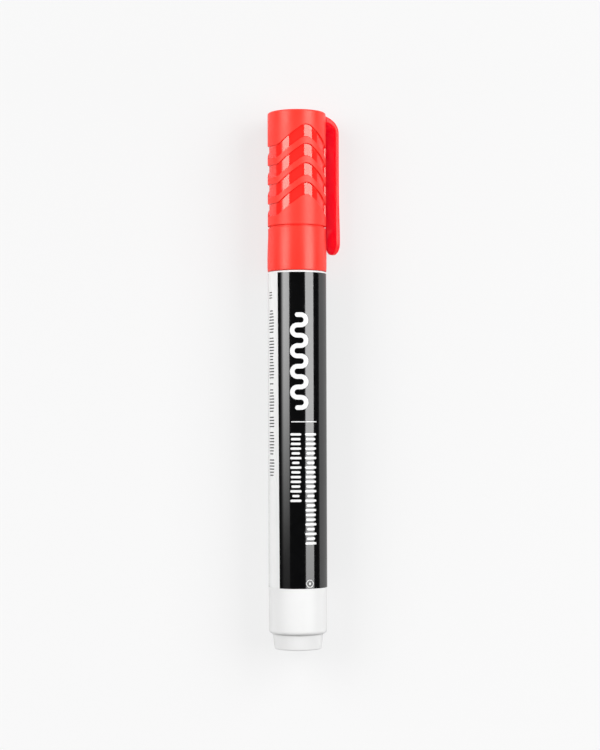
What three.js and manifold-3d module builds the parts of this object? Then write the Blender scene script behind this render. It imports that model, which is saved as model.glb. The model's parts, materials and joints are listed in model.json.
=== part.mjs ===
// Whiteboard marker: a capped barrel with its ink reservoir, bullet nib and pocket clip.
// It lies on its side, rolled until the edge of the clip touches the surface, as a dropped marker does.
// Units are millimetres. The marker is built along +Y with its rear face at y = 0 and the clip
// towards +X, then rolled about Y and moved so that the origin is the bottom centre of its box.

import * as THREE from "three";
import { mergeVertices } from "three/addons/utils/BufferGeometryUtils.js";
import Module from "manifold-3d";

// ---- Driving dimensions ----

const OVERALL_LENGTH = 140;
const CAP_LENGTH = 41.75;
const BARREL_RADIUS = 7.56;
const CAP_RADIUS = 7.64;
const CAP_MOUTH_RADIUS = 7.78;
const ROLL = THREE.MathUtils.degToRad(27.9); // how far the clip hangs below the horizontal

// Clearances: a press fit is drawn with a small gap, so that no two solids overlap.
const FACE_GAP = 0.05;
const CAP_SEAT_GAP = 0.1;
const WRAP_GAP = 0.02;

// Round parts share one facet count and phase, with a facet square to the surface below.
const SEGMENTS = 48;
const FLOOR_ANGLE = Math.PI - ROLL;
const FIRST_EDGE = FLOOR_ANGLE + Math.PI / SEGMENTS;

// ---- Sizes of each piece ----

const capMouth = OVERALL_LENGTH - CAP_LENGTH;
const shoulder = capMouth - CAP_SEAT_GAP;

const plug = {
  headLength: 3.9,
  rearRadius: 6.12,
  headRadius: 6.58,
  edge: 0.35,
  end: 12,
  boreRadius: 4.9,
  floor: 1.5,
};
const barrel = {
  bore: 6.3,
  edge: 0.8,
  neckRadius: 6.5,
  beadRadius: 6.6,
  beadFromShoulder: 3.6,
  neckLength: 6.3,
};
const neckBore = 5.3;
const neckEnd = shoulder + barrel.neckLength;
const label = { start: 16, end: 97.68, thickness: 0.06 };
const nozzle = {
  flange: 6.3,
  flangeLength: 1.5,
  radius: 3.4,
  coneLength: 5.8,
  length: 8,
  lip: 2.9,
  lipLength: 1,
};
const nib = { radius: 2.15, start: 88, shoulder: 121, tip: 126.5, tipRadius: 1.1 };
const reservoir = { radius: 5.85, film: 0.1, filmGap: 0.04, start: 12.6, end: 92.5, nibDepth: 5 };
const liner = {
  bore: 3.6,
  wall: 0.9,
  flange: 6.38,
  flangeLength: 1.5,
  start: 113.5,
  ceiling: 132,
  ceilingThickness: 1,
};
const capBore = { mouth: 6.65, upper: 6.45, mouthLength: 7.6, ceiling: 1.6 };
const skirt = {
  grooveFromTop: 30.15,
  grooveWidth: 0.52,
  grooveDepth: 0.4,
  radius: 7.56,
  mouthStraight: 3.6,
  flareLength: 6,
};
const capTopEdge = 0.6;

// Grip: rows of recesses that follow one wave round the cap, low opposite the clip and high at its sides.
const grip = {
  rows: 4,
  pitch: 5.04,
  height: 3.17,
  depth: 0.36,
  fromTop: 3.9,
  rise: 5.2,
  crestAngle: 82,
  flankAngle: 67,
  rounding: 0.2,
  endAngle: 157.5,
  steps: 42,
};

const clip = {
  width: 5.8,
  thickness: 1.3,
  outer: 11.29,
  tipFlare: 0.2,
  flareTop: 122,
  rootTop: 139.4,
  rootThickness: 1.7,
  archHeight: 4.4,
  innerArch: 2.0,
  tip: 103.1,
  toe: 1.0,
  padRadius: 9.4,
  padTop: 108.4,
  edge: 0.35,
  rootGap: 0.12,
};

// ---- Solids ----

const wasm = await Module();
wasm.setup();

// A closed geometry as a manifold-3d solid.
function toSolid(geometry) {
  const bare = geometry.index ? geometry.toNonIndexed() : geometry.clone();
  bare.deleteAttribute("normal");
  bare.deleteAttribute("uv");
  const merged = mergeVertices(bare, 1e-4);
  const index = merged.index.array;
  const triangles = [];
  for (let i = 0; i < index.length; i += 3) {
    const [a, b, c] = index.subarray(i, i + 3);
    if (a !== b && b !== c && c !== a) triangles.push(a, b, c);
  }
  return new wasm.Manifold(
    new wasm.Mesh({
      numProp: 3,
      vertProperties: new Float32Array(merged.attributes.position.array),
      triVerts: new Uint32Array(triangles),
    }),
  );
}

function toGeometry(solid) {
  const mesh = solid.getMesh();
  return new THREE.BufferGeometry()
    .setAttribute("position", new THREE.BufferAttribute(mesh.vertProperties, 3))
    .setIndex(new THREE.BufferAttribute(mesh.triVerts, 1));
}

// Turns a profile of [radius, y] points about the marker's axis.
function turned(profile) {
  const points = profile.map(([r, y]) => new THREE.Vector2(r, y));
  return new THREE.LatheGeometry(points, SEGMENTS, FIRST_EDGE, 2 * Math.PI);
}

// Points along a quarter-round edge in a profile, from one angle to another, in degrees.
function arc(centreR, centreY, radius, from, to, steps = 3) {
  const points = [];
  for (let i = 0; i <= steps; i++) {
    const a = THREE.MathUtils.degToRad(from + ((to - from) * i) / steps);
    points.push([centreR + radius * Math.cos(a), centreY + radius * Math.sin(a)]);
  }
  return points;
}

// ---- Pieces of the barrel ----

function endPlugGeometry() {
  const shankRadius = barrel.bore - FACE_GAP;
  return turned([
    [0, 0],
    ...arc(plug.rearRadius - plug.edge, plug.edge, plug.edge, -90, 0),
    [plug.headRadius, plug.headLength],
    [shankRadius, plug.headLength],
    [shankRadius, plug.end - 1],
    [shankRadius - 0.5, plug.end],
    [plug.boreRadius, plug.end],
    [plug.boreRadius, plug.floor],
    [0, plug.floor],
  ]);
}

function barrelGeometry() {
  const rear = plug.headLength + FACE_GAP;
  const bead = shoulder + barrel.beadFromShoulder;
  const beadHalf = 0.5;
  const shoulderEdge = 0.2;
  const boreEnd = 93.5;
  return turned([
    [barrel.bore, rear],
    ...arc(BARREL_RADIUS - barrel.edge, rear + barrel.edge, barrel.edge, -90, 0, 4),
    [BARREL_RADIUS, shoulder - shoulderEdge],
    [BARREL_RADIUS - shoulderEdge, shoulder],
    [barrel.neckRadius, shoulder],
    [barrel.neckRadius, bead - beadHalf],
    [barrel.beadRadius, bead],
    [barrel.neckRadius, bead + beadHalf],
    [barrel.neckRadius, neckEnd - 0.3],
    [barrel.neckRadius - 0.3, neckEnd],
    [neckBore, neckEnd],
    [neckBore, boreEnd + 1],
    [barrel.bore, boreEnd],
    [barrel.bore, rear],
  ]);
}

function labelGeometry() {
  const inner = BARREL_RADIUS + WRAP_GAP;
  const outer = inner + label.thickness;
  return turned([
    [inner, label.start],
    [outer, label.start],
    [outer, label.end],
    [inner, label.end],
    [inner, label.start],
  ]);
}

function nibHolderGeometry() {
  const sleeveRadius = neckBore - FACE_GAP;
  const sleeveStart = 94;
  const seat = neckEnd + FACE_GAP;
  const coneStart = seat + nozzle.flangeLength;
  const nozzleStart = coneStart + nozzle.coneLength;
  const mouth = nozzleStart + nozzle.length;
  const nibBore = nib.radius + FACE_GAP;
  const sleeveBore = 4.2;
  return turned([
    [sleeveBore, sleeveStart],
    [sleeveRadius - 0.3, sleeveStart],
    [sleeveRadius, sleeveStart + 0.5],
    [sleeveRadius, seat],
    [nozzle.flange, seat],
    [nozzle.flange, coneStart - 0.3],
    [nozzle.flange - 0.3, coneStart],
    [nozzle.flange - 0.7, coneStart],
    [nozzle.radius + 0.15, nozzleStart],
    [nozzle.radius, nozzleStart + 0.4],
    [nozzle.radius, mouth - nozzle.lipLength],
    [nozzle.lip, mouth],
    [nibBore, mouth],
    [nibBore, coneStart + 1],
    [sleeveBore, seat - 1],
    [sleeveBore, sleeveStart],
  ]);
}

function nibGeometry() {
  const tipCentre = nib.tip - nib.tipRadius;
  return turned([
    [0, nib.start],
    [nib.radius - 0.4, nib.start],
    [nib.radius, nib.start + 0.6],
    [nib.radius, nib.shoulder],
    [nib.radius - 0.12, nib.shoulder + 1.2],
    ...arc(0, tipCentre, nib.tipRadius, 20, 90, 4),
  ]);
}

function reservoirGeometry() {
  const boreRadius = nib.radius + FACE_GAP;
  const boreFloor = reservoir.end - reservoir.nibDepth;
  return turned([
    [0, reservoir.start],
    [reservoir.radius, reservoir.start],
    [reservoir.radius, reservoir.end],
    [boreRadius, reservoir.end],
    [boreRadius, boreFloor],
    [0, boreFloor],
  ]);
}

function reservoirFilmGeometry() {
  const inner = reservoir.radius + reservoir.filmGap;
  const outer = inner + reservoir.film;
  return turned([
    [inner, reservoir.start],
    [outer, reservoir.start],
    [outer, reservoir.end],
    [inner, reservoir.end],
    [inner, reservoir.start],
  ]);
}

// ---- Pieces of the cap ----

// The soft inner cap: a cup that seals on the nozzle, with a stub tube that stands off the cap's end.
function innerCapGeometry() {
  const outer = liner.bore + liner.wall;
  const end = OVERALL_LENGTH - capBore.ceiling - FACE_GAP;
  const floor = liner.ceiling + liner.ceilingThickness;
  return turned([
    [0, liner.ceiling],
    [liner.bore, liner.ceiling],
    [liner.bore, liner.start + 0.4],
    [liner.bore + 0.3, liner.start],
    [liner.flange, liner.start],
    [liner.flange, liner.start + liner.flangeLength],
    [outer, liner.start + liner.flangeLength],
    [outer, end],
    [liner.bore, end],
    [liner.bore, floor],
    [0, floor],
  ]);
}

// How far the grip wave has fallen below its crest, 0 to 1, at an angle from the crest in degrees:
// a straight flank with rounded ends.
function waveFall(angleFromCrest) {
  const u = Math.min(1, Math.abs(angleFromCrest) / grip.flankAngle);
  const c = grip.rounding;
  if (u < c) return (u * u) / (2 * c * (1 - c));
  if (u > 1 - c) return 1 - ((1 - u) * (1 - u)) / (2 * c * (1 - c));
  return (u - c / 2) / (1 - c);
}

// The cutter for one recess: a band round the cap whose edges follow the wave.
function recessCutter(row) {
  const inner = CAP_RADIUS - grip.depth;
  const outer = CAP_RADIUS + 1;
  const positions = [];
  const index = [];
  for (let i = 0; i <= grip.steps; i++) {
    const fromFront = -grip.endAngle + (2 * grip.endAngle * i) / grip.steps;
    const fall = waveFall(Math.abs(fromFront) - grip.crestAngle) * grip.rise;
    const top = OVERALL_LENGTH - grip.fromTop - row * grip.pitch - fall;
    const bottom = top - grip.height;
    const phi = THREE.MathUtils.degToRad(270 + fromFront);
    for (const [r, y] of [[inner, bottom], [outer, bottom], [outer, top], [inner, top]]) {
      positions.push(r * Math.sin(phi), y, r * Math.cos(phi));
    }
  }
  const quad = (a, b, c, d) => index.push(a, b, c, a, c, d);
  for (let i = 0; i < grip.steps; i++) {
    for (let k = 0; k < 4; k++) {
      const a = 4 * i + k;
      const b = 4 * i + ((k + 1) % 4);
      quad(a, a + 4, b + 4, b);
    }
  }
  const last = 4 * grip.steps;
  quad(0, 1, 2, 3);
  quad(last + 3, last + 2, last + 1, last);
  return new THREE.BufferGeometry()
    .setAttribute("position", new THREE.Float32BufferAttribute(positions, 3))
    .setIndex(index);
}

function capShellGeometry() {
  const top = OVERALL_LENGTH;
  const groove = top - skirt.grooveFromTop;
  const grooveHalf = skirt.grooveWidth / 2;
  const mouthEdge = 0.25;
  const boreStep = capMouth + capBore.mouthLength;
  const flareStart = capMouth + skirt.mouthStraight;
  const ceiling = top - capBore.ceiling;
  const shell = turned([
    [capBore.mouth + mouthEdge, capMouth],
    ...arc(CAP_MOUTH_RADIUS - mouthEdge, capMouth + mouthEdge, mouthEdge, -90, 0, 2),
    [CAP_MOUTH_RADIUS, flareStart],
    [skirt.radius + 0.05, flareStart + skirt.flareLength * 0.6],
    [skirt.radius, flareStart + skirt.flareLength],
    [skirt.radius, groove - grooveHalf],
    [CAP_RADIUS - skirt.grooveDepth, groove],
    [CAP_RADIUS, groove + grooveHalf],
    ...arc(CAP_RADIUS - capTopEdge, top - capTopEdge, capTopEdge, 0, 90, 4),
    [0, top],
    [0, ceiling],
    [capBore.upper, ceiling],
    [capBore.upper, boreStep + 0.6],
    [capBore.mouth, boreStep],
    [capBore.mouth, capMouth + mouthEdge],
    [capBore.mouth + mouthEdge, capMouth],
  ]);
  let solid = toSolid(shell);
  for (let row = 0; row < grip.rows; row++) {
    solid = solid.subtract(toSolid(recessCutter(row)));
  }
  return toGeometry(solid);
}

// The clip's side outline, with x as the distance from the marker's axis: an arched root, a straight
// arm, a rounded toe, and a low pad on the side that faces the cap.
function clipOutline() {
  const inner = clip.outer - clip.thickness;
  const flared = clip.outer + clip.tipFlare;
  const flaredInner = inner + clip.tipFlare * 0.6;
  const rootStart = CAP_RADIUS - 0.8;
  const rootUnder = clip.rootTop - clip.rootThickness;
  const archCentre = clip.rootTop - clip.archHeight;
  const shape = new THREE.Shape();
  shape.moveTo(rootStart, clip.rootTop);
  shape.lineTo(CAP_RADIUS, clip.rootTop);
  shape.absellipse(CAP_RADIUS, archCentre, clip.outer - CAP_RADIUS, clip.archHeight, Math.PI / 2, 0, true);
  shape.lineTo(clip.outer, clip.flareTop);
  shape.quadraticCurveTo(clip.outer, (clip.flareTop + clip.padTop) / 2, flared, clip.tip + clip.toe);
  shape.absarc(flared - clip.toe, clip.tip + clip.toe, clip.toe, 0, -Math.PI / 2, true);
  shape.bezierCurveTo(
    clip.padRadius + 0.5, clip.tip,
    clip.padRadius, clip.tip + 0.6,
    clip.padRadius, clip.tip + 1.7,
  );
  shape.bezierCurveTo(
    clip.padRadius, clip.tip + 3,
    flaredInner, clip.padTop - 1.6,
    flaredInner, clip.padTop,
  );
  shape.quadraticCurveTo(inner, (clip.flareTop + clip.padTop) / 2, inner, clip.flareTop);
  shape.lineTo(inner, rootUnder - clip.innerArch);
  shape.absarc(inner - clip.innerArch, rootUnder - clip.innerArch, clip.innerArch, 0, Math.PI / 2, false);
  shape.lineTo(rootStart, rootUnder);
  shape.closePath();
  return shape;
}

function clipGeometry() {
  const side = new THREE.ExtrudeGeometry(clipOutline(), {
    depth: clip.width - 2 * clip.edge,
    bevelThickness: clip.edge,
    bevelSize: clip.edge,
    bevelOffset: -clip.edge,
    bevelSegments: 2,
    curveSegments: 7,
  }).translate(0, 0, clip.edge - clip.width / 2);

  const half = clip.width / 2;
  const plan = new THREE.Shape();
  plan.moveTo(half + 1, OVERALL_LENGTH + 1);
  plan.lineTo(-half - 1, OVERALL_LENGTH + 1);
  plan.lineTo(-half - 1, clip.tip + half);
  plan.lineTo(-half, clip.tip + half);
  plan.absarc(0, clip.tip + half, half, Math.PI, 2 * Math.PI, false);
  plan.lineTo(half + 1, clip.tip + half);
  plan.closePath();
  const planDepth = 8;
  const planSettings = { depth: planDepth, bevelEnabled: false, curveSegments: 10 };
  const planSolid = new THREE.ExtrudeGeometry(plan, planSettings)
    .translate(0, 0, CAP_RADIUS - 2)
    .rotateY(Math.PI / 2);

  const seat = turned([
    [0, capMouth],
    [CAP_RADIUS + clip.rootGap, capMouth],
    [CAP_RADIUS + clip.rootGap, OVERALL_LENGTH + 1],
    [0, OVERALL_LENGTH + 1],
  ]);
  return toGeometry(toSolid(side).intersect(toSolid(planSolid)).subtract(toSolid(seat)));
}

// ---- Materials ----

function plastic(color, roughness) {
  return new THREE.MeshStandardMaterial({ color, roughness, metalness: 0 });
}

const capRed = plastic(0xf03a30, 0.35);
const whitePlastic = plastic(0xf2f2f0, 0.3);
const linerPlastic = plastic(0xe9e9e4, 0.5);
const labelFilm = plastic(0x101010, 0.15);
const nibFelt = plastic(0xc8202a, 0.9);
const reservoirFibre = plastic(0xd8453f, 0.95);
const clearFilm = plastic(0xe6e2e0, 0.2);

// ---- Assembly ----

const marker = new THREE.Group();
const pieces = [
  ["end_plug", endPlugGeometry(), whitePlastic],
  ["barrel", barrelGeometry(), whitePlastic],
  ["wrap_label", labelGeometry(), labelFilm],
  ["nib_holder", nibHolderGeometry(), whitePlastic],
  ["bullet_nib", nibGeometry(), nibFelt],
  ["ink_reservoir", reservoirGeometry(), reservoirFibre],
  ["reservoir_film", reservoirFilmGeometry(), clearFilm],
  ["inner_cap", innerCapGeometry(), linerPlastic],
  ["cap_shell", capShellGeometry(), capRed],
  ["pocket_clip", clipGeometry(), capRed],
];
for (const [name, geometry, material] of pieces) {
  const mesh = new THREE.Mesh(geometry, material);
  mesh.name = name;
  marker.add(mesh);
}

marker.rotation.y = ROLL;
marker.updateMatrixWorld(true);
const box = new THREE.Box3().setFromObject(marker, true);
const centre = box.getCenter(new THREE.Vector3());
marker.position.set(-centre.x, -centre.y, -box.min.z);

const part = new THREE.Group();
part.add(marker);

export default part;
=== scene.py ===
"""The looks of the whiteboard marker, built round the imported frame, and a small studio set for it."""

import json
import math

import bmesh
import bpy
import numpy as np
from mathutils import Matrix, Vector


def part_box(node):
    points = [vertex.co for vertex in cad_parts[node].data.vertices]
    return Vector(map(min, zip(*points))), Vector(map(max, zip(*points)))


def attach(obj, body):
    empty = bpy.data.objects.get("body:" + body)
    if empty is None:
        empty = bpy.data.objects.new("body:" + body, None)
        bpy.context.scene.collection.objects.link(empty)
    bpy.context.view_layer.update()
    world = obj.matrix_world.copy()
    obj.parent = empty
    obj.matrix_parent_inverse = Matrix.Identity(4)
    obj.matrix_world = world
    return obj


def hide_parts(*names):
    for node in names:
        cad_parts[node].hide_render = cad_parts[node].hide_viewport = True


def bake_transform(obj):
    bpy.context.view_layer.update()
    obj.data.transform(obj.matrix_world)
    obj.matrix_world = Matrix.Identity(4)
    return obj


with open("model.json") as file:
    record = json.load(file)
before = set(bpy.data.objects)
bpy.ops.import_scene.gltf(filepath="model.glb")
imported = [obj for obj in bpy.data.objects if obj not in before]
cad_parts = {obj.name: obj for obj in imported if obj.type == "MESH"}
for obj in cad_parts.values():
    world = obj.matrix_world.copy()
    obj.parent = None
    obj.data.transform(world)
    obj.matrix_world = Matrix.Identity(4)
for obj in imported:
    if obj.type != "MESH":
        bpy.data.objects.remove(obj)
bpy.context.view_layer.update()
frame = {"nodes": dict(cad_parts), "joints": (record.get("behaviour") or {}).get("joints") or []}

# ---- The marker's own coordinates ----
# Shapes are worked out in millimetres: r from the marker's axis, an angle round it in degrees (0 is up,
# 90 is +X), and a distance a along it from the rear face.

MM = 0.001
SEGMENTS = 256
ON_AXIS = 1e-6
SHARP_ANGLE = 38

barrel_low, barrel_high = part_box("barrel")
AXIS_X = (barrel_low.x + barrel_high.x) / 2
AXIS_Z = (barrel_low.z + barrel_high.z) / 2
REAR_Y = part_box("end_plug")[0].y

hinge_axis = Vector(next(j for j in frame["joints"] if j["name"] == "clip_flex")["axis"]).normalized()
clip_out = hinge_axis.cross(Vector((0, -1, 0)))
CLIP_ANGLE = math.degrees(math.atan2(clip_out.x, clip_out.z))
FRONT_ANGLE = CLIP_ANGLE - 180


def along(y):
    """The distance along the marker of a frame y, in millimetres."""
    return (y - REAR_Y) / MM


def span(node):
    """Where a CAD node starts and ends along the marker, in millimetres."""
    low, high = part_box(node)
    return along(low.y), along(high.y)


CAP_MOUTH, CAP_TOP = span("cap_shell")
BARREL_REAR, NECK_END = span("barrel")
LABEL_REAR, LABEL_FRONT = span("wrap_label")

BARREL_RADIUS = 7.56
LABEL_RADIUS = 7.64
CAP_RADIUS = 7.63


def place(r, angle, a):
    """Frame positions, in metres, of points given in the marker's coordinates. Takes numbers or arrays."""
    phi = np.radians(angle)
    x = AXIS_X + MM * r * np.sin(phi)
    z = AXIS_Z + MM * r * np.cos(phi)
    return np.stack(np.broadcast_arrays(x, REAR_Y + MM * a, z), axis=-1)


def ring_of(r, angles, a):
    """A ring of points round the axis, or one point where the radius is zero."""
    return place(0.0, 0.0, a)[None] if r < ON_AXIS else place(r, angles, a)


def smoothstep(t):
    """0 up to t = 0, 1 from t = 1, and a smooth rise between."""
    t = np.clip(t, 0.0, 1.0)
    return t * t * (3 - 2 * t)


# ---- Mesh helpers ----


def new_object(name, points, faces):
    """A mesh object with outward faces, smooth but for its sharp corners."""
    mesh = bpy.data.meshes.new(name)
    mesh.from_pydata([tuple(p) for p in points], [], faces)
    work = bmesh.new()
    work.from_mesh(mesh)
    bmesh.ops.recalc_face_normals(work, faces=work.faces)
    work.to_mesh(mesh)
    work.free()
    mesh.shade_smooth()
    mesh.set_sharp_from_angle(angle=math.radians(SHARP_ANGLE))
    obj = bpy.data.objects.new(name, mesh)
    bpy.context.scene.collection.objects.link(obj)
    return obj


def skin(name, rings, closed=False):
    """A surface through rings of points. A ring of one point is a pole, and a closed skin joins its ends."""
    points, starts = [], []
    for ring in rings:
        starts.append(len(points))
        points.extend(np.atleast_2d(ring))
    faces = []
    count = len(rings) if closed else len(rings) - 1
    for i in range(count):
        k = (i + 1) % len(rings)
        here, there = len(np.atleast_2d(rings[i])), len(np.atleast_2d(rings[k]))
        a, b = starts[i], starts[k]
        n = max(here, there)
        for j in range(n):
            j2 = (j + 1) % n
            if here == 1:
                faces.append((a, b + j2, b + j))
            elif there == 1:
                faces.append((a + j, a + j2, b))
            else:
                faces.append((a + j, a + j2, b + j2, b + j))
    return new_object(name, points, faces)


def rounded(corners, closed=False, steps=5):
    """A profile through corners (r, a) or (r, a, fillet radius). Each fillet is an arc with a support point
    just outside both ends, which keeps the shading of the flat stretches flat."""
    support = 0.04
    points = []
    n = len(corners)
    for i, corner in enumerate(corners):
        p = np.array(corner[:2], float)
        fillet = corner[2] if len(corner) > 2 else 0
        if not fillet or (not closed and i in (0, n - 1)):
            points.append(p)
            continue
        before = np.array(corners[i - 1][:2], float) - p
        after = np.array(corners[(i + 1) % n][:2], float) - p
        before_unit, after_unit = before / np.linalg.norm(before), after / np.linalg.norm(after)
        half = math.acos(np.clip(before_unit @ after_unit, -1, 1)) / 2
        reach = fillet / math.tan(half)
        bisector = (before_unit + after_unit) / np.linalg.norm(before_unit + after_unit)
        centre = p + bisector * fillet / math.sin(half)
        start, end = p + before_unit * reach, p + after_unit * reach
        points.append(start + before_unit * support)
        turn = math.pi - 2 * half
        for k in range(steps + 1):
            t = k / steps
            from_start, from_end = math.sin((1 - t) * turn), math.sin(t * turn)
            arm = (from_start * (start - centre) + from_end * (end - centre)) / math.sin(turn)
            points.append(centre + arm)
        points.append(end + after_unit * support)
    return points


def lathe(name, corners, closed=False, steps=5):
    """A round piece from the corners of its profile, which ends on the axis at both ends or closes."""
    angles = np.arange(SEGMENTS) * 360 / SEGMENTS
    rings = [ring_of(r, angles, a) for r, a in rounded(corners, closed, steps)]
    return skin(name, rings, closed)


# ---- Materials ----


def grey_ramp(tree, source, stops, interpolation="LINEAR"):
    """A colour ramp of grey levels, each stop (position, level)."""
    ramp = tree.nodes.new("ShaderNodeValToRGB")
    ramp.color_ramp.interpolation = interpolation
    elements = ramp.color_ramp.elements
    while len(elements) < len(stops):
        elements.new(0.5)
    for element, (position, level) in zip(elements, stops):
        element.position = position
        element.color = (level, level, level, 1)
    tree.links.new(source, ramp.inputs["Fac"])
    return ramp.outputs["Color"]


class Shader:
    """A material's node tree with a Principled BSDF, and short ways to add what it needs."""

    def __init__(self, name, color, roughness, **inputs):
        self.material = bpy.data.materials.new(name)
        self.material.use_nodes = True
        self.tree = self.material.node_tree
        self.bsdf = self.tree.nodes["Principled BSDF"]
        self.bsdf.inputs["Base Color"].default_value = (*color, 1)
        self.bsdf.inputs["Roughness"].default_value = roughness
        for key, value in inputs.items():
            self.bsdf.inputs[key.replace("_", " ")].default_value = value
        self.coords = None

    def node(self, kind, **settings):
        made = self.tree.nodes.new(kind)
        for key, value in settings.items():
            if hasattr(made, key):
                setattr(made, key, value)
            else:
                made.inputs[key.replace("_", " ")].default_value = value
        return made

    def link(self, source, target):
        self.tree.links.new(source, target)

    def noise(self, size_mm, detail=2, stretch=(1, 1, 1)):
        """Noise in the piece's own space whose features are about size_mm across."""
        if self.coords is None:
            self.coords = self.node("ShaderNodeTexCoord").outputs["Object"]
        mapping = self.node("ShaderNodeMapping")
        mapping.inputs["Scale"].default_value = [s / (size_mm * MM) for s in stretch]
        texture = self.node("ShaderNodeTexNoise", Scale=1.0, Detail=detail)
        self.link(self.coords, mapping.inputs["Vector"])
        self.link(mapping.outputs["Vector"], texture.inputs["Vector"])
        return texture.outputs["Fac"]

    def spread(self, factor, low, high):
        """Turns a 0 to 1 factor into the range low to high."""
        remap = self.node("ShaderNodeMapRange")
        remap.inputs["From Min"].default_value = 0.3
        remap.inputs["From Max"].default_value = 0.7
        remap.inputs["To Min"].default_value = low
        remap.inputs["To Max"].default_value = high
        self.link(factor, remap.inputs["Value"])
        return remap.outputs["Result"]

    def vary_color(self, factor, dark, light):
        ramp = self.node("ShaderNodeValToRGB")
        ramp.color_ramp.elements[0].position = 0.3
        ramp.color_ramp.elements[1].position = 0.7
        ramp.color_ramp.elements[0].color = (*dark, 1)
        ramp.color_ramp.elements[1].color = (*light, 1)
        self.link(factor, ramp.inputs["Fac"])
        self.link(ramp.outputs["Color"], self.bsdf.inputs["Base Color"])

    def vary_roughness(self, factor, low, high):
        self.link(self.spread(factor, low, high), self.bsdf.inputs["Roughness"])

    def vary_roughness_along(self, stops, factor, spread):
        """Roughness that follows stops (place along the marker, level), with a little noise on top."""
        split = self.node("ShaderNodeSeparateXYZ")
        self.link(self.coords, split.inputs["Vector"])
        along_marker = self.node("ShaderNodeMapRange")
        first, last = stops[0][0], stops[-1][0]
        along_marker.inputs["From Min"].default_value = REAR_Y + MM * first
        along_marker.inputs["From Max"].default_value = REAR_Y + MM * last
        self.link(split.outputs["Y"], along_marker.inputs["Value"])
        ramp_stops = [((a - first) / (last - first), level) for a, level in stops]
        levels = grey_ramp(self.tree, along_marker.outputs["Result"], ramp_stops)
        total = self.node("ShaderNodeMath", operation="ADD")
        self.link(levels, total.inputs[0])
        self.link(self.spread(factor, -spread / 2, spread / 2), total.inputs[1])
        self.link(total.outputs["Value"], self.bsdf.inputs["Roughness"])

    def bump(self, *layers):
        """Adds bump layers, each (factor, height in millimetres)."""
        normal = None
        for factor, height in layers:
            bump = self.node("ShaderNodeBump", Strength=1.0, Distance=height * MM)
            self.link(factor, bump.inputs["Height"])
            if normal is not None:
                self.link(normal, bump.inputs["Normal"])
            normal = bump.outputs["Normal"]
        self.link(normal, self.bsdf.inputs["Normal"])


def tint(color, amount):
    return tuple(min(1.0, c * amount) for c in color)


RED = (0.98, 0.033, 0.021)
DEEP_RED = (0.98, 0.025, 0.019)
CLIP_RED = (1.0, 0.026, 0.018)
WARM = (1.0, 0.98, 0.86, 1.0)
WHITE = (0.82, 0.82, 0.817)

# How rough the cap's satin finish is at places along the marker: smoothest at the mouth, dullest
# round the grip.
SATIN_FINISH = [
    (CAP_MOUTH, 0.30),
    (CAP_MOUTH + 6, 0.33),
    (CAP_TOP - 30.3, 0.36),
    (CAP_TOP - 30.0, 0.43),
    (CAP_TOP - 5, 0.42),
    (CAP_TOP - 2, 0.36),
]


def satin_red():
    """Moulded plastic with a fine spark-eroded grain."""
    s = Shader("red_satin_plastic", RED, 0.36, IOR=1.5, Specular_Tint=WARM)
    s.vary_color(s.noise(6, 3), tint(RED, 0.97), tint(RED, 1.03))
    s.vary_roughness_along(SATIN_FINISH, s.noise(0.8, 3), 0.07)
    s.bump((s.noise(0.16, 2), 0.006), (s.noise(1.6, 2), 0.006))
    return s.material


def glowing_clip_red():
    """The cap's plastic in a bar so thin that red light carries through it, with a faint painted red glow on
    top that lightens its shaded inner face.
    """
    s = Shader(
        "red_clip_plastic_painted_glow", CLIP_RED, 0.4, IOR=1.5, Specular_IOR_Level=0.4, Specular_Tint=WARM,
        Subsurface_Weight=1.0, Subsurface_Radius=(1.0, 0.02, 0.04), Subsurface_Scale=0.005,
        # Painted glow: a weak red emission that lightens the clip where it lies in shade, standing in for
        # light carried through the thin plastic.
        Emission_Color=(1.0, 0.0, 0.06, 1.0), Emission_Strength=0.17,
    )
    s.vary_color(s.noise(6, 3), tint(CLIP_RED, 0.97), tint(CLIP_RED, 1.03))
    s.vary_roughness(s.noise(0.8, 3), 0.38, 0.46)
    s.bump((s.noise(0.16, 2), 0.006), (s.noise(1.6, 2), 0.004))
    return s.material


def polished_red():
    """The same plastic from a polished stretch of the mould."""
    s = Shader("red_polished_plastic", DEEP_RED, 0.045, IOR=1.68, Specular_Tint=WARM)
    s.vary_color(s.noise(6, 3), tint(DEEP_RED, 0.97), tint(DEEP_RED, 1.03))
    s.vary_roughness(s.noise(0.8, 2), 0.035, 0.07)
    s.bump((s.noise(1.2, 2), 0.002))
    return s.material


def white_plastic():
    s = Shader("white_plastic", tint(WHITE, 0.97), 0.36, IOR=1.5, Specular_IOR_Level=0.3)
    s.vary_color(s.noise(8, 3), tint(WHITE, 0.955), tint(WHITE, 0.98))
    s.vary_roughness(s.noise(1.0, 3), 0.32, 0.4)
    s.bump((s.noise(0.2, 2), 0.0002), (s.noise(4, 1), 0.0008))
    return s.material


def black_film():
    """Glossy printed film: nearly black, with the slight waviness of a wrapped label."""
    black = (0.0022, 0.0022, 0.0024)
    s = Shader("black_label_film", black, 0.08, IOR=1.8)
    s.vary_color(s.noise(3, 3), black, tint(black, 1.4))
    s.vary_roughness(s.noise(1.5, 3), 0.07, 0.11)
    s.bump((s.noise(1.8, 2, (1, 0.3, 1)), 0.0015))
    return s.material


def white_film():
    s = Shader("white_label_film", WHITE, 0.16, IOR=1.55)
    s.vary_color(s.noise(5, 3), tint(WHITE, 0.99), tint(WHITE, 1.01))
    s.vary_roughness(s.noise(1.5, 3), 0.13, 0.2)
    s.bump((s.noise(1.8, 2, (1, 0.3, 1)), 0.0015))
    return s.material


def white_ink():
    ink = (0.84, 0.84, 0.84)
    s = Shader("white_label_ink", ink, 0.14, IOR=1.55)
    s.vary_color(s.noise(0.5, 3), tint(ink, 0.97), ink)
    s.vary_roughness(s.noise(1.0, 2), 0.11, 0.18)
    return s.material


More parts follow.
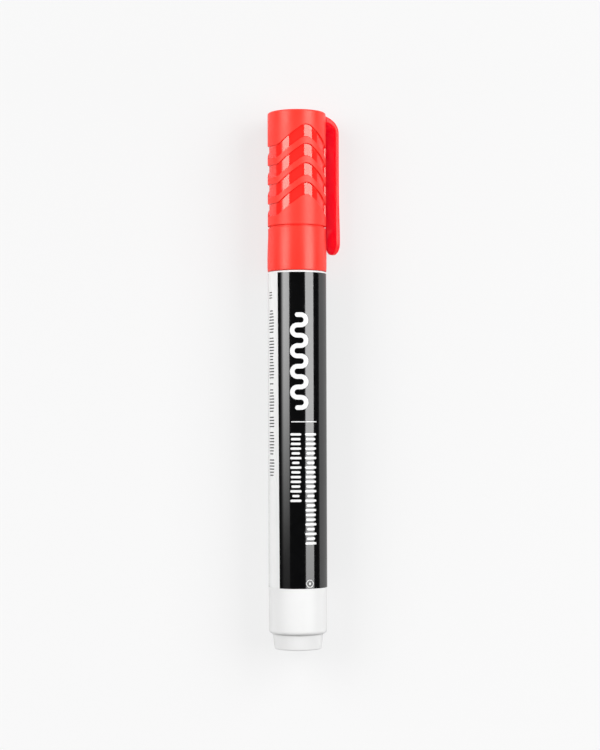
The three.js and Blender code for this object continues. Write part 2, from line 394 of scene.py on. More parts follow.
def grey_ink():
    ink = (0.03, 0.03, 0.033)
    s = Shader("grey_label_ink", ink, 0.2, IOR=1.5)
    s.vary_color(s.noise(0.3, 3), ink, tint(ink, 1.6))
    return s.material


def liner_plastic():
    """Soft natural polyethylene, a little cloudy."""
    base = (0.76, 0.76, 0.72)
    s = Shader("liner_plastic", base, 0.45, IOR=1.5, Subsurface_Weight=0.3, Subsurface_Scale=0.0012)
    s.vary_color(s.noise(4, 3), tint(base, 0.96), base)
    s.vary_roughness(s.noise(0.8, 3), 0.4, 0.52)
    s.bump((s.noise(0.4, 2), 0.004))
    return s.material


def felt():
    """Bonded fibres that run along the nib, soaked with red ink."""
    base = (0.48, 0.012, 0.02)
    s = Shader("nib_felt", base, 0.85)
    fibres = s.noise(0.12, 4, (1, 0.12, 1))
    s.vary_color(fibres, tint(base, 0.55), tint(base, 1.3))
    s.bump((fibres, 0.05), (s.noise(0.5, 3), 0.02))
    return s.material


def fibre_bundle():
    base = (0.55, 0.03, 0.035)
    s = Shader("reservoir_fibre", base, 0.9)
    fibres = s.noise(0.2, 4, (1, 0.06, 1))
    s.vary_color(fibres, tint(base, 0.6), tint(base, 1.25))
    s.bump((fibres, 0.06))
    return s.material


def clear_film():
    base = (0.8, 0.74, 0.73)
    s = Shader("clear_film", base, 0.2, IOR=1.5, Transmission_Weight=0.7)
    s.vary_roughness(s.noise(1.0, 2), 0.12, 0.28)
    return s.material


def dress(obj, *materials):
    if obj.data.materials:
        obj.data.materials.clear()
    for material in materials:
        obj.data.materials.append(material)
    return obj


# ---- Pieces of the barrel ----
# Every profile lists its corners as (r, a) or (r, a, fillet radius).

PLUG_RADIUS, PLUG_STEM, PLUG_BORE = 6.12, 6.22, 4.9
PLUG_END, PLUG_FLOOR = 12, 1.5
GATE_DEPTH = 0.12
BARREL_BORE, NECK_RADIUS, NECK_BORE = 6.32, 6.5, 5.3
BEAD_FROM_SHOULDER, BEAD_RADIUS = 3.6, 6.62
NOZZLE_RADIUS, COLLAR_RADIUS, NIB_HOLE = 3.4, 3.75, 2.2
NIB_RADIUS = 2.14


def make_end_plug():
    """The rear plug: a slightly tapered head with a small gate dimple in its face."""
    head = BARREL_REAR - 0.05
    return lathe("end_plug_moulding", [
        (0, GATE_DEPTH),
        (0.75, GATE_DEPTH, 0.06),
        (0.9, 0, 0.05),
        (PLUG_RADIUS, 0, 0.32),
        (6.56, head),
        (PLUG_STEM, head),
        (PLUG_STEM, PLUG_END - 0.6),
        (5.8, PLUG_END),
        (PLUG_BORE, PLUG_END),
        (PLUG_BORE, PLUG_FLOOR),
        (0, PLUG_FLOOR),
    ])


def make_barrel():
    """The barrel's tube, with the neck that the cap snaps over and its low bead."""
    shoulder = CAP_MOUTH - 0.1
    bead = shoulder + BEAD_FROM_SHOULDER
    return lathe("barrel_tube", [
        (BARREL_BORE, BARREL_REAR, 0.12),
        (BARREL_RADIUS, BARREL_REAR, 0.95),
        (BARREL_RADIUS, shoulder, 0.18),
        (NECK_RADIUS, shoulder, 0.12),
        (NECK_RADIUS, bead - 0.7, 0.2),
        (BEAD_RADIUS, bead - 0.15, 0.25),
        (BEAD_RADIUS, bead + 0.15, 0.25),
        (NECK_RADIUS, bead + 0.7, 0.2),
        (NECK_RADIUS, NECK_END, 0.3),
        (NECK_BORE, NECK_END, 0.1),
        (NECK_BORE, 94.5),
        (BARREL_BORE, 93.5),
    ], closed=True)


def make_nib_holder():
    """The flange, cone and nozzle that hold the nib, with a stepped collar where the cone ends."""
    seat = NECK_END + 0.05
    cone = seat + 1.5
    nozzle = cone + 5.8
    mouth = span("nib_holder")[1]
    return lathe("nib_holder_moulding", [
        (4.2, 94.0),
        (4.95, 94.0, 0.1),
        (5.25, 94.5),
        (5.25, seat),
        (6.28, seat, 0.12),
        (6.28, cone, 0.3),
        (5.5, cone, 0.2),
        (COLLAR_RADIUS, nozzle - 0.5, 0.25),
        (COLLAR_RADIUS, nozzle, 0.15),
        (NOZZLE_RADIUS, nozzle, 0.12),
        (NOZZLE_RADIUS, mouth - 1, 0.3),
        (2.85, mouth, 0.18),
        (NIB_HOLE, mouth, 0.1),
        (NIB_HOLE, cone + 1),
        (4.2, seat - 1),
    ], closed=True)


def make_nib():
    """The nib: a rod of felt that narrows to a rounded tip."""
    start, tip = span("bullet_nib")
    return lathe("bullet_nib_felt", [
        (0, start),
        (1.75, start),
        (NIB_RADIUS, start + 0.6),
        (NIB_RADIUS, tip - 4.6, 0.8),
        (1.35, tip - 0.35, 0.75),
        (0.35, tip, 0.4),
        (0, tip),
    ], steps=8)


# ---- The wrap label ----

BLACK_WIDTH = 240.6
BLACK_EDGE_REAR = -37.9
BLACK_EDGE_FRONT = -41.4
BLACK_COLUMNS, WHITE_COLUMNS, LABEL_RINGS = 160, 80, 24
LABEL_THICKNESS, LABEL_CHAMFER = 0.05, 0.01
SEAM, LAP_WIDTH, LAP_HEIGHT = 244.0, 20.0, 0.03


def black_edge(a):
    """The angle of the black panel's left edge, which drifts a little because the label is wrapped askew."""
    t = (a - LABEL_REAR) / (LABEL_FRONT - LABEL_REAR)
    return BLACK_EDGE_REAR + (BLACK_EDGE_FRONT - BLACK_EDGE_REAR) * t


def make_label():
    """A thin sleeve with a black panel and a white panel, and a low step where its ends overlap. Its mesh
    lines follow the printed edge."""
    share = np.concatenate([
        np.arange(BLACK_COLUMNS) / BLACK_COLUMNS * BLACK_WIDTH,
        BLACK_WIDTH + np.arange(WHITE_COLUMNS) / WHITE_COLUMNS * (360 - BLACK_WIDTH),
    ])
    inner, outer = LABEL_RADIUS - LABEL_THICKNESS, LABEL_RADIUS
    past_seam = share - SEAM
    lap = LAP_HEIGHT * (past_seam >= 0) * (1 - smoothstep(past_seam / LAP_WIDTH))
    edge = LABEL_CHAMFER
    lengths = np.linspace(LABEL_REAR, LABEL_FRONT, LABEL_RINGS)
    profile = [(outer - edge, lengths[0])]
    profile += [(outer, a) for a in [lengths[0] + edge, *lengths[1:-1], lengths[-1] - edge]]
    profile += [(outer - edge, lengths[-1]), (inner, lengths[-1]), (inner, lengths[0])]
    rings = [place(r + lap * (r > inner), black_edge(a) + share, a) for r, a in profile]
    obj = skin("wrap_label_film", rings, closed=True)
    columns = len(share)
    for face in obj.data.polygons:
        column = min(v % columns for v in face.vertices)
        wraps = max(v % columns for v in face.vertices) - column > 1
        face.material_index = 0 if column < BLACK_COLUMNS and not wraps else 1
    return obj


# ---- Printing: thin strokes of ink that follow the label ----

INK = 0.02
ROUND_END = [math.radians(d) for d in (88, 70, 50, 30, 15)]


class Print:
    """Collects strokes in flat label coordinates and bends them round the barrel. s runs along the
    marker from the cap towards the rear, and h across it, both in millimetres."""

    def __init__(self, name, a, angle):
        self.name, self.a, self.angle = name, a, angle
        self.points, self.faces = [], []

    def stroke(self, path, width, across=4):
        """A stroke of even width with round ends along a path of (s, h) points."""
        path = np.array(path, float)
        half = width / 2
        tangent = np.gradient(path, axis=0)
        tangent /= np.linalg.norm(tangent, axis=1)[:, None]
        rows = [
            (path[0] - tangent[0] * half * math.sin(c), tangent[0], half * math.cos(c))
            for c in ROUND_END
        ]
        rows += [(p, t, half) for p, t in zip(path, tangent)]
        rows += [
            (path[-1] + tangent[-1] * half * math.sin(c), tangent[-1], half * math.cos(c))
            for c in reversed(ROUND_END)
        ]
        sides = np.linspace(-1, 1, across + 1)
        loops = []
        for centre, t, reach in rows:
            normal = np.array([-t[1], t[0]])
            flat = centre + sides[:, None] * reach * normal
            top = self.bend(flat, INK)
            bottom = self.bend(flat[::-1], -INK / 2)
            loops.append(np.concatenate([top, bottom]))
        base, count = len(self.points), len(loops[0])
        for loop in loops:
            self.points.extend(loop)
        for i in range(len(loops) - 1):
            for j in range(count):
                a, b = base + i * count, base + (i + 1) * count
                self.faces.append((a + j, a + (j + 1) % count, b + (j + 1) % count, b + j))
        last = base + (len(loops) - 1) * count
        self.faces.append(tuple(base + j for j in range(count)))
        self.faces.append(tuple(last + j for j in reversed(range(count))))

    def bend(self, flat, height):
        """Flat points laid round the label, at some height above its face."""
        s, h = flat[:, 0], flat[:, 1]
        return place(LABEL_RADIUS + height, self.angle + np.degrees(h / LABEL_RADIUS), self.a - s)

    def finish(self, material):
        obj = new_object(self.name, self.points, self.faces)
        return dress(obj, material)


def line(start, end, spacing=0.4):
    """Evenly spaced points from start to end, for a straight stroke."""
    start, end = np.array(start, float), np.array(end, float)
    count = max(2, round(np.linalg.norm(end - start) / spacing) + 1)
    return [start + (end - start) * t for t in np.linspace(0, 1, count)]


def squiggle(length, height, turns, steps=12):
    """A zigzag with round turns: straight upright strokes joined by half circles."""
    pitch = length / turns
    radius = pitch / 2
    straight = height - 2 * radius
    path = []
    for k in range(turns + 1):
        up = k % 2 == 0
        s = k * pitch
        ends = [(s, -straight / 2), (s, straight / 2)]
        path += line(*(ends if up else ends[::-1]))
        if k < turns:
            side = 1 if up else -1
            for step in range(1, steps):
                turn = math.pi * step / steps
                reach = straight / 2 + radius * math.sin(turn)
                path.append(np.array([s + radius - radius * math.cos(turn), side * reach]))
    return path


# ---- Pieces of the cap ----

GRIP_TOP = CAP_TOP - 3.9
GRIP_PITCH, GRIP_HEIGHT, GRIP_DEPTH, GRIP_RISE = 5.04, 3.17, 0.4, 5.2
GRIP_ROWS = 4
WALL = 0.2
CREST, FLANK, ROUNDING = 82, 67, 0.2
GRIP_END = 157.5
CAP_SEGMENTS, WALL_LINES = 288, 9
LINE_GAP = 0.05
EDGE_START = CAP_TOP - 0.62
GROOVE = CAP_TOP - 30.15
GROOVE_HALF, GROOVE_DEPTH = 0.28, 0.7
GROOVE_START = GROOVE + GROOVE_HALF + 0.15
SKIRT_RADIUS, SKIRT_FLARE = CAP_RADIUS - 0.08, 0.2
FLARE_TOP, FLARE_END = GROOVE - 0.95, CAP_MOUTH + 3.6
MOUTH_RADIUS = CAP_RADIUS + 0.12
BORE_RADIUS, UPPER_BORE_RADIUS = 6.66, 6.46
BORE_STEP, CAP_CEILING = CAP_MOUTH + 7.6, CAP_TOP - 1.6
RECESS_SHARE = 0.12


def wave_fall(from_front):
    """How far the grip wave has fallen below its crest, 0 to 1: a straight flank with rounded ends."""
    u = np.clip(np.abs(np.abs(from_front) - CREST) / FLANK, 0, 1)
    c = ROUNDING
    bend = 2 * c * (1 - c)
    return np.where(u < c, u * u / bend, np.where(u > 1 - c, 1 - (1 - u) ** 2 / bend, (u - c / 2) / (1 - c)))


def cap_columns():
    """Angles from the cap's front, closer together where the grip recesses end."""
    even = np.arange(-180, 180, 360 / CAP_SEGMENTS)
    wall = math.degrees(WALL / CAP_RADIUS)
    ends = GRIP_END - wall + np.linspace(0, wall, WALL_LINES)
    near = np.concatenate([ends, -ends])
    least_gap = 0.35
    kept = [c for c in even if np.min(np.abs(near - c)) > least_gap]
    return np.sort(np.concatenate([kept, near]))


def grip_rows():
    """(place along the crest, share of the recess depth) for each mesh line of the grip."""
    rows = []
    wall = np.linspace(0, 1, WALL_LINES)
    for k in range(GRIP_ROWS):
        top = GRIP_TOP - k * GRIP_PITCH
        bottom = top - GRIP_HEIGHT
        floor = np.linspace(top - WALL / 2 - LINE_GAP, bottom + WALL / 2 + LINE_GAP, 4)
        rows.append((top + WALL / 2 + LINE_GAP, 0.0))
        rows += [(top + WALL / 2 - WALL * t, smoothstep(t)) for t in wall]
        rows += [(s, 1.0) for s in floor]
        rows += [(bottom + WALL / 2 - WALL * t, smoothstep(1 - t)) for t in wall]
        rows.append((bottom - WALL / 2 - LINE_GAP, 0.0))
    return rows


def cap_end_profile():
    """The closed end, from its gate dimple out to the start of the cap's side."""
    return rounded([
        (0, CAP_TOP - GATE_DEPTH),
        (0.8, CAP_TOP - GATE_DEPTH, 0.06),
        (0.95, CAP_TOP, 0.05),
        (CAP_RADIUS, CAP_TOP, 0.5),
        (CAP_RADIUS, EDGE_START),
    ], steps=7)


def groove_profile():
    """The ring groove, from its upper lip to the top of the skirt."""
    floor = CAP_RADIUS - GROOVE_DEPTH
    return rounded([
        (CAP_RADIUS, GROOVE_START),
        (CAP_RADIUS, GROOVE + GROOVE_HALF, 0.07),
        (floor, GROOVE + GROOVE_HALF - 0.08, 0.08),
        (floor, GROOVE - GROOVE_HALF + 0.08, 0.08),
        (SKIRT_RADIUS, GROOVE - GROOVE_HALF, 0.12),
        (SKIRT_RADIUS, GROOVE - 0.8),
    ])[1:]


def flare_profile():
    """The skirt, which grows a little wider towards the mouth."""
    return [
        (SKIRT_RADIUS + SKIRT_FLARE * smoothstep(t), FLARE_TOP + (FLARE_END - FLARE_TOP) * t)
        for t in np.linspace(0, 1, 14)
    ]


def mouth_and_bore_profile():
    """Round the cap's rim, up its stepped bore and across the inside of its end."""
    return rounded([
        (MOUTH_RADIUS, CAP_MOUTH + 3),
        (MOUTH_RADIUS, CAP_MOUTH + 1.2, 2),
        (CAP_RADIUS + 0.07, CAP_MOUTH, 0.22),
        (6.9, CAP_MOUTH, 0.12),
        (BORE_RADIUS, CAP_MOUTH + 0.3, 0.1),
        (BORE_RADIUS, BORE_STEP, 0.2),
        (UPPER_BORE_RADIUS, BORE_STEP + 0.5, 0.2),
        (UPPER_BORE_RADIUS, CAP_CEILING, 0.3),
        (0, CAP_CEILING),
    ])


def polish_recesses(obj, first_vertex, grip, inside):
    """Gives the faces inside a recess the second material, which is the mould's polished stretch."""
    deep = -np.ones(len(obj.data.vertices))
    index = first_vertex
    for _, depth in grip:
        deep[index:index + len(inside)] = depth * inside
        index += len(inside)
    for face in obj.data.polygons:
        face.material_index = 1 if np.mean([deep[v] for v in face.vertices]) > RECESS_SHARE else 0


def make_cap():
    """The cap shell: grip recesses on one wave, a ring groove, a flared skirt, and the bore inside."""
    columns = cap_columns()
    angles = FRONT_ANGLE + columns
    fall = wave_fall(columns)
    wall_angle = math.degrees(WALL / CAP_RADIUS)
    inside = 1 - smoothstep((np.abs(columns) - GRIP_END + wall_angle) / wall_angle)
    grip = grip_rows()
    first, last = grip[0][0], grip[-1][0]

    def plain_ring(s):
        """A ring of the plain side. It follows the grip's wave next to the grip and runs straight at
        its other end."""
        below_edge = smoothstep((EDGE_START - s) / (EDGE_START - first))
        above_groove = smoothstep((s - GROOVE_START) / (last - GROOVE_START))
        return place(CAP_RADIUS, angles, s - GRIP_RISE * fall * float(below_edge * above_groove))

    rings = [ring_of(r, angles, a) for r, a in cap_end_profile()]
    rings += [plain_ring(s) for s in np.linspace(EDGE_START, first, 5)[1:-1]]
    first_vertex = sum(len(points) for points in rings)
    for s, depth in grip:
        rings.append(place(CAP_RADIUS - GRIP_DEPTH * depth * inside, angles, s - GRIP_RISE * fall))
    rings += [plain_ring(s) for s in np.linspace(last, GROOVE_START, 7)[1:]]
    lower = [*groove_profile(), *flare_profile(), *mouth_and_bore_profile()]
    rings += [ring_of(r, angles, a) for r, a in lower]
    obj = skin("cap_shell_moulding", rings)
    polish_recesses(obj, first_vertex, grip, inside)
    return obj


CLIP_HALF_WIDTH = 2.9
CLIP_OUTER, CLIP_THICKNESS, CLIP_FLARE = 11.26, 1.29, 0.25
CLIP_TIP, CLIP_ROOT = span("pocket_clip")
CLIP_UNDERSIDE = CLIP_ROOT - 1.7
OUTER_REACH = (5.0, 4.6)
OUTER_ARCH = (CLIP_OUTER - OUTER_REACH[0], CLIP_ROOT - 4.37)
INNER_REACH = (2.85, 2.6)
INNER_ARCH = (CLIP_OUTER - CLIP_THICKNESS - INNER_REACH[0], CLIP_UNDERSIDE - INNER_REACH[1])
ROOT_FILLET = 0.45
ROOT_STEPS = (-0.35, -0.15, 0.0, 0.03, 0.08, 0.15, 0.24, 0.34, 0.45)
ARCH_SECTIONS, SEAT_FADE = 18, 1.4
FLARE_FROM, INNER_FLARE = 120.0, 0.4
CLIP_COLUMNS, CLIP_EDGE = 29, 0.5
TIP_EDGE_CUT, TIP_LEVEL_CUT = 0.2, 0.25
SLIM_EDGE_TO, SLIM_EDGE_FADE = 9.0, 5
PAD_HEIGHT, PAD_FROM_TIP = 0.5, 3.8


def on_arch(centre, reach, angle):
    """A point on one of the two elliptical arches that carry the clip from the cap into its arm."""
    turn = math.radians(angle)
    return centre[0] + reach[0] * math.cos(turn), centre[1] + reach[1] * math.sin(turn)


def arch_angle(centre, reach, r):
    """The angle at which an arch is at a distance r from the axis."""
    return math.degrees(math.acos((r - centre[0]) / reach[0]))


def root_sections():
    """The clip's sections from inside the cap's wall out through the fillet at its root."""
    sections = []
    for d in ROOT_STEPS:
        r = CAP_RADIUS + d
        flare = ROOT_FILLET
        if d > 0:
            flare = ROOT_FILLET - math.sqrt(ROOT_FILLET**2 - (ROOT_FILLET - d) ** 2)
        inner = (r, on_arch(INNER_ARCH, INNER_REACH, arch_angle(INNER_ARCH, INNER_REACH, r))[1] - flare)
        outer = (r, on_arch(OUTER_ARCH, OUTER_REACH, arch_angle(OUTER_ARCH, OUTER_REACH, r))[1])
        sections.append((inner, outer, CLIP_HALF_WIDTH + flare, 1.0))
    return sections


def arch_sections():
    """The clip's sections round the arches that turn it from the root into its arm."""
    sections = []
    inner_start = arch_angle(INNER_ARCH, INNER_REACH, CAP_RADIUS + ROOT_FILLET)
    outer_start = arch_angle(OUTER_ARCH, OUTER_REACH, CAP_RADIUS + ROOT_FILLET)
    for k in range(1, ARCH_SECTIONS + 1):
        t = k / ARCH_SECTIONS
        inner = on_arch(INNER_ARCH, INNER_REACH, inner_start * (1 - t))
        outer = on_arch(OUTER_ARCH, OUTER_REACH, outer_start * (1 - t))
        sections.append((inner, outer, CLIP_HALF_WIDTH, 1 - smoothstep(t * SEAT_FADE)))
    return sections


def arm_lengths():
    """Where the arm has a section: closer together towards its round tip."""
    bend, tip_start = INNER_ARCH[1], CLIP_TIP + 7
    lengths = [*np.linspace(bend, FLARE_FROM, 8)[1:], *np.linspace(FLARE_FROM, tip_start, 5)[1:]]
    lengths += [*np.linspace(tip_start, CLIP_TIP + CLIP_HALF_WIDTH, 11)[1:]]
    turns = [*range(5, 85, 5), 86, 88.5]
    return lengths + [CLIP_TIP + CLIP_HALF_WIDTH * (1 - math.sin(math.radians(d))) for d in turns]


def arm_sections():
    """The clip's straight arm, which flares away from the cap towards its tip."""
    sections = []
    for a in arm_lengths():
        from_tip = a - CLIP_TIP
        bow = CLIP_FLARE * smoothstep((FLARE_FROM - a) / (FLARE_FROM - CLIP_TIP - 3))
        inner = (CLIP_OUTER - CLIP_THICKNESS + INNER_FLARE * bow, a)
        outer = (CLIP_OUTER + bow, a)
        half = CLIP_HALF_WIDTH
        if from_tip < CLIP_HALF_WIDTH:
            half = math.sqrt(CLIP_HALF_WIDTH**2 - (CLIP_HALF_WIDTH - from_tip) ** 2)
        sections.append((inner, outer, half, 0.0))
    return sections


def round_edge(distance, width, height):
    """How far a surface has rounded off at some distance inside its outline."""
    x = np.clip(distance / width, 0, 1)
    return height * (1 - np.sqrt(1 - (1 - x) ** 2))


def clip_section_outline(inner, outer, half, seat):
    """One section's outline as u across the clip, r from the axis and a along it. inner and outer are
    (distance from the axis, a), half is the half width, and seat is how far the section follows the
    cap's roundness."""
    inner, outer = np.array(inner), np.array(outer)
    thickness = np.linalg.norm(outer - inner)
    u = half * np.cos(np.linspace(0, math.pi, CLIP_COLUMNS))
    from_tip = outer[1] - CLIP_TIP
    if from_tip < CLIP_HALF_WIDTH:
        inset = CLIP_HALF_WIDTH - np.hypot(u, CLIP_HALF_WIDTH - from_tip)
    else:
        inset = half - np.abs(u)
    near_tip = 1 - smoothstep((from_tip - SLIM_EDGE_TO) / SLIM_EDGE_FADE)
    outer_level = thickness - round_edge(inset, CLIP_EDGE, CLIP_EDGE)
    inner_level = round_edge(
        inset, CLIP_EDGE - TIP_EDGE_CUT * near_tip, CLIP_EDGE - TIP_LEVEL_CUT * near_tip
    )
    pad_along = smoothstep(1.9 - abs(from_tip - PAD_FROM_TIP) / 1.5)
    pad = PAD_HEIGHT * pad_along * smoothstep(1.4 - np.abs(u) / 1.6)
    inner_level = inner_level - pad
    u = np.concatenate([u, u[::-1]])
    level = np.concatenate([outer_level, inner_level[::-1]])
    r, a = inner[:, None] + (outer - inner)[:, None] * level / thickness
    r = r - seat * (r - np.sqrt(np.maximum(0, r * r - u * u)))
    return u, r, a


def make_clip():
    """The pocket clip as one loft from its root in the cap's wall to its round tip. Its edges are round,
    the inner edge less so towards the tip, and a low pad near the tip faces the cap."""
    side = np.array(hinge_axis) * MM
    out = np.array(clip_out) * MM
    lengthwise = np.array((0, MM, 0))
    base = np.array((AXIS_X, REAR_Y, AXIS_Z))
    rings = []
    for section in [*root_sections(), *arch_sections(), *arm_sections()]:
        u, r, a = clip_section_outline(*section)
        rings.append(base + lengthwise * a[:, None] + out * r[:, None] + side * u[:, None])
    points = [p for ring in rings for p in ring]
    count = len(rings[0])
    faces = []
    for i in range(len(rings) - 1):
        for j in range(count):
            a, b = i * count, (i + 1) * count
            faces.append((a + j, a + (j + 1) % count, b + (j + 1) % count, b + j))
    last = (len(rings) - 1) * count
    faces.append(tuple(reversed(range(count))))
    faces.append(tuple(range(last, last + count)))
    return new_object("pocket_clip_moulding", points, faces)


def make_inner_cap():
    """The soft cup that seals on the nozzle, with a flange at its mouth."""
    mouth, end = span("inner_cap")
    ceiling, bore, outside, flange = 132, 3.6, 4.5, 6.36
    return lathe("inner_cap_moulding", [
        (0, ceiling),
        (bore, ceiling, 0.5),
        (bore, mouth + 0.6, 0.2),
        (3.95, mouth, 0.15),
        (flange, mouth, 0.15),
        (flange, mouth + 1.5, 0.15),
        (outside, mouth + 1.5, 0.25),
        (outside, end, 0.12),
        (bore, end, 0.12),
        (bore, ceiling + 1, 0.3),
        (0, ceiling + 1),
    ])


# ---- Assembly ----

satin, polished = satin_red(), polished_red()
white, liner = white_plastic(), liner_plastic()
black_panel, white_panel = black_film(), white_film()
white_print, grey_print = white_ink(), grey_ink()

mouldings = [
    (make_end_plug(), [white], "barrel", "end_plug", "white_plastic"),
    (make_barrel(), [white], "barrel", "barrel", "white_plastic"),
    (make_nib_holder(), [white], "barrel", "nib_holder", "white_plastic"),
    (make_nib(), [felt()], "barrel", "bullet_nib", "nib_felt"),
    (make_label(), [black_panel, white_panel], "barrel", "wrap_label", "label_black"),
    (make_cap(), [satin, polished], "cap", "cap_shell", "cap_red"),
    (make_inner_cap(), [liner], "cap", "inner_cap", "liner_plastic"),
]
for piece, materials, body, node, slot in mouldings:
    dress(piece, *materials)
    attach(piece, body)
    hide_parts(node)

clip = dress(make_clip(), glowing_clip_red())
root_point = place(CAP_RADIUS + 0.1, CLIP_ANGLE, CLIP_ROOT)
arm_point = place(CLIP_OUTER, CLIP_ANGLE, CLIP_ROOT)
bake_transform(clip)
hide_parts("pocket_clip")

dress(frame["nodes"]["ink_reservoir"], fibre_bundle())
dress(frame["nodes"]["reservoir_film"], clear_film())


def marks(panel, words, pitch, height, width, level, start=0.0):
    """A row of upright strokes of uneven height standing in for words. words are the strokes in each."""
    s = start
    for count in words:
        for k in range(count):
            share = 0.62 + 0.38 * abs(math.sin(1.7 * k + 2.3 * s))
            reach = (height * share - width) / 2
            panel.stroke(line((s, level - reach), (s, level + reach)), width)
            s += pitch
        s += pitch
    return s


def ring(radius, start, end, steps=28):
    """Points along an arc, for a round stroke."""
    turns = np.radians(np.linspace(start, end, steps))
    return [np.array([radius * math.cos(t), radius * math.sin(t)]) for t in turns]


# The number of strokes in each word, row by row.
NOTE_LINES = [[7, 5, 9, 4, 8, 6, 10, 5, 7], [6, 9, 5, 11, 4, 7, 8, 6], [9, 4, 7, 6, 12]]


def make_prints():
    """Generic printing in place of the label's words: a bold squiggle, a divider, bars and small marks."""
    title = Print("label_squiggle", 86.6, 3.7)
    title.stroke(squiggle(length=24.0, height=3.6, turns=9), 1.2)
    divider = Print("label_divider", 58.95, 13.8)
    divider.stroke(line((0, -3.4), (0, 3.4)), 0.24)
    bars = Print("label_bars", 56.2, 26.8)
    marks(bars, [24], pitch=1.22, height=3.3, width=0.62, level=0, start=0.5)
    short_bars = Print("label_short_bars", 56.2, -3.4)
    marks(short_bars, [15], pitch=1.22, height=2.95, width=0.62, level=0, start=0.5)
    symbol = Print("label_ring", 17.3, 24)
    symbol.stroke(ring(0.95, 8, 352), 0.15)
    symbol.stroke(line((-0.1, 0), (0.1, 0), 0.1), 0.4)
    fine = Print("label_fine_print", 87.8, -61.5)
    marks(fine, [8, 14, 1, 8, 4, 8, 6], pitch=0.79, height=2.6, width=0.3, level=0)
    badge = Print("label_badge", 92.6, -64)
    marks(badge, [3], pitch=0.7, height=2.4, width=0.26, level=0)
    notes = Print("label_notes", 80, -99)
    for row, words in enumerate(NOTE_LINES):
        marks(notes, words, pitch=0.62, height=1.3, width=0.24, level=-1.9 * row)
    whites = [p.finish(white_print) for p in (title, divider, bars, short_bars, symbol)]
    return whites + [p.finish(grey_print) for p in (fine, badge, notes)]


for piece in make_prints():
    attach(piece, "barrel")

# ---- Studio ----

TABLE_SIZE, TABLE_GREY = 3.0, 0.2
BOARD_REACH, BOARD_FADE = 0.13, 0.02
BOARD_LEVEL, BEYOND_LEVEL = 0.62, 0.08
GLOW_START, GLOW_END = (-0.095, 0.718), (0.08, 0.666)


def make_floor():
    """A pale table. The camera sees it partly lit through, so that shadows on it stay faint. To the
    marker's own surfaces it is plain white board out to BOARD_REACH, and darker beyond. Its glow falls
    towards +Y, from GLOW_START to GLOW_END (place, strength), which evens out the softboxes' light."""
    mesh = bpy.data.meshes.new("table")
    half = TABLE_SIZE / 2
    corners = [(-half, -half, 0), (half, -half, 0), (half, half, 0), (-half, half, 0)]
    mesh.from_pydata(corners, [], [(0, 1, 2, 3)])
    floor = bpy.data.objects.new("table", mesh)
    bpy.context.scene.collection.objects.link(floor)
    s = Shader("table_white", (TABLE_GREY, TABLE_GREY, TABLE_GREY), 0.9, Specular_IOR_Level=0.0)
    s.bsdf.inputs["Emission Color"].default_value = (1, 1, 1, 1)
    where = s.node("ShaderNodeTexCoord").outputs["Object"]
    split = s.node("ShaderNodeSeparateXYZ")
    s.link(where, split.inputs["Vector"])
    glow = s.node("ShaderNodeMapRange")
    glow.inputs["From Min"].default_value, glow.inputs["To Min"].default_value = GLOW_START
    glow.inputs["From Max"].default_value, glow.inputs["To Max"].default_value = GLOW_END
    s.link(split.outputs["Y"], glow.inputs["Value"])
    s.link(glow.outputs["Result"], s.bsdf.inputs["Emission Strength"])
    radius = s.node("ShaderNodeVectorMath", operation="LENGTH")
    s.link(where, radius.inputs[0])
    ramp = s.node("ShaderNodeMapRange")
    ramp.inputs["From Min"].default_value = BOARD_REACH
    ramp.inputs["From Max"].default_value = BOARD_REACH + BOARD_FADE
    ramp.inputs["To Min"].default_value = BOARD_LEVEL
    ramp.inputs["To Max"].default_value = BEYOND_LEVEL
    s.link(radius.outputs["Value"], ramp.inputs["Value"])
    board = s.node("ShaderNodeBsdfDiffuse")
    s.link(ramp.outputs["Result"], board.inputs["Color"])
    path = s.node("ShaderNodeLightPath")
    mix = s.node("ShaderNodeMixShader")
    s.link(path.outputs["Is Camera Ray"], mix.inputs["Fac"])
    s.link(board.outputs["BSDF"], mix.inputs[1])
    s.link(s.bsdf.outputs["BSDF"], mix.inputs[2])
    s.link(mix.outputs["Shader"], s.tree.nodes["Material Output"].inputs["Surface"])
    mesh.materials.append(s.material)


BOX_DISTANCE = 0.6
BOX_START, BOX_END = -0.15, 0.55
FILL_SIZE, FILL_TILT, FILL_RADIANCE = (0.3, 0.8), 68, 0.9


def softbox(name, side, near, far, radiance, across, lengthwise):
    """A long softbox beside the marker, between two angles from straight up. Its light fades smoothly
    between stops (place, level): across from its far side to its near side, lengthwise towards +Y."""
    middle, half_angle = math.radians((near + far) / 2), math.radians((far - near) / 2)
    data = bpy.data.lights.new(name, "AREA")
    data.shape = "RECTANGLE"
    data.size = 2 * BOX_DISTANCE * math.tan(half_angle)
    data.size_y = BOX_END - BOX_START
    data.energy = radiance * math.pi * data.size * data.size_y
    data.use_nodes = True
    tree = data.node_tree
    geometry = tree.nodes.new("ShaderNodeNewGeometry")
    split = tree.nodes.new("ShaderNodeSeparateXYZ")
    tree.links.new(geometry.outputs["Parametric"], split.inputs["Vector"])
    x_level = grey_ramp(tree, split.outputs["X"], across, "EASE")
    y_level = grey_ramp(tree, split.outputs["Y"], lengthwise, "EASE")
    product = tree.nodes.new("ShaderNodeVectorMath")
    product.operation = "MULTIPLY"
    tree.links.new(x_level, product.inputs[0])
    tree.links.new(y_level, product.inputs[1])
    tree.links.new(product.outputs["Vector"], tree.nodes["Emission"].inputs["Color"])
    back = Vector((side * math.sin(middle), 0, math.cos(middle)))
    y_axis = Vector((0, 1, 0))
    x_axis = y_axis.cross(back)
    lamp = bpy.data.objects.new(name, data)
    place_at = Vector((0, (BOX_START + BOX_END) / 2, AXIS_Z)) + back * BOX_DISTANCE
    lamp.matrix_world = Matrix.Translation(place_at) @ Matrix((x_axis, y_axis, back)).transposed().to_4x4()
    bpy.context.scene.collection.objects.link(lamp)


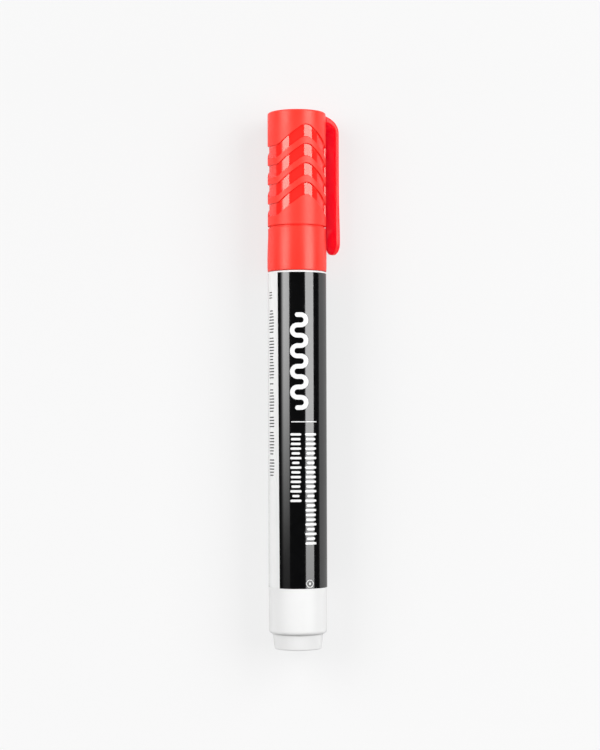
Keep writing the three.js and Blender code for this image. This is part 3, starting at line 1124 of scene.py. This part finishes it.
def make_fill():
    """A weak light low on the left that lifts the marker's shaded side. It stays out of reflections."""
    data = bpy.data.lights.new("left_fill", "AREA")
    data.shape = "RECTANGLE"
    data.size, data.size_y = FILL_SIZE
    data.energy = FILL_RADIANCE * math.pi * data.size * data.size_y
    lamp = bpy.data.objects.new("left_fill", data)
    tilt = math.radians(FILL_TILT)
    lamp.location = (-BOX_DISTANCE * math.sin(tilt), 0, AXIS_Z + BOX_DISTANCE * math.cos(tilt))
    lamp.rotation_euler = (0, -tilt, 0)
    lamp.visible_glossy = False
    bpy.context.scene.collection.objects.link(lamp)


AMBIENT_LEVEL, GLOSSY_LEVEL, BACKDROP_LEVEL = 0.33, 0.012, 0.9


def make_world():
    """A soft fill for matt surfaces, dark surroundings for glossy ones, and a pale backdrop."""
    world = bpy.data.worlds.new("studio")
    bpy.context.scene.world = world
    world.use_nodes = True
    tree = world.node_tree
    tree.nodes.clear()
    path = tree.nodes.new("ShaderNodeLightPath")
    shader = None
    levels = (AMBIENT_LEVEL, None), (GLOSSY_LEVEL, "Is Glossy Ray"), (BACKDROP_LEVEL, "Is Camera Ray")
    for level, ray in levels:
        background = tree.nodes.new("ShaderNodeBackground")
        background.inputs["Color"].default_value = (1, 1, 1, 1)
        background.inputs["Strength"].default_value = level
        if ray is None:
            shader = background.outputs["Background"]
            continue
        mix = tree.nodes.new("ShaderNodeMixShader")
        tree.links.new(path.outputs[ray], mix.inputs["Fac"])
        tree.links.new(shader, mix.inputs[1])
        tree.links.new(background.outputs["Background"], mix.inputs[2])
        shader = mix.outputs["Shader"]
    out = tree.nodes.new("ShaderNodeOutputWorld")
    tree.links.new(shader, out.inputs["Surface"])


CAMERA_HEIGHT, CAMERA_ROLL = 0.51, 0.18
CAMERA_AT, CAMERA_AIM = (0.0006, -0.0146), (0.0007, 0.00124)
SENSOR, LENS = 36, 93.6


def make_camera():
    """Above the marker, a little behind its middle, and rolled slightly. Its place and its aim are
    (x from the marker's axis, y)."""
    foot = Vector((AXIS_X + CAMERA_AT[0], CAMERA_AT[1], AXIS_Z + CAMERA_HEIGHT))
    aim = Vector((AXIS_X + CAMERA_AIM[0], CAMERA_AIM[1], AXIS_Z))
    data = bpy.data.cameras.new("camera")
    data.sensor_width = SENSOR
    data.lens = LENS
    camera = bpy.data.objects.new("camera", data)
    back = (foot - aim).normalized()
    roll = math.radians(CAMERA_ROLL)
    up = Vector((math.sin(roll), math.cos(roll), 0))
    right = up.cross(back).normalized()
    up = back.cross(right)
    camera.matrix_world = Matrix.Translation(foot) @ Matrix((right, up, back)).transposed().to_4x4()
    bpy.context.scene.collection.objects.link(camera)
    bpy.context.scene.camera = camera


make_floor()
make_world()
softbox(
    "left_softbox", -1, near=31.5, far=72.4, radiance=5.4,
    across=[(0.1, 0.01), (0.48, 1.0), (1.0, 0.93)],
    lengthwise=[(0.08, 0.03), (0.32, 1.0)],
)
softbox(
    "right_softbox", 1, near=31.6, far=66.2, radiance=5.4,
    across=[(0.0, 1.0), (1.0, 1.0)],
    lengthwise=[(0.0, 0.5), (0.25, 1.0)],
)
make_fill()
make_camera()
bpy.context.scene.view_settings.view_transform = "Standard"
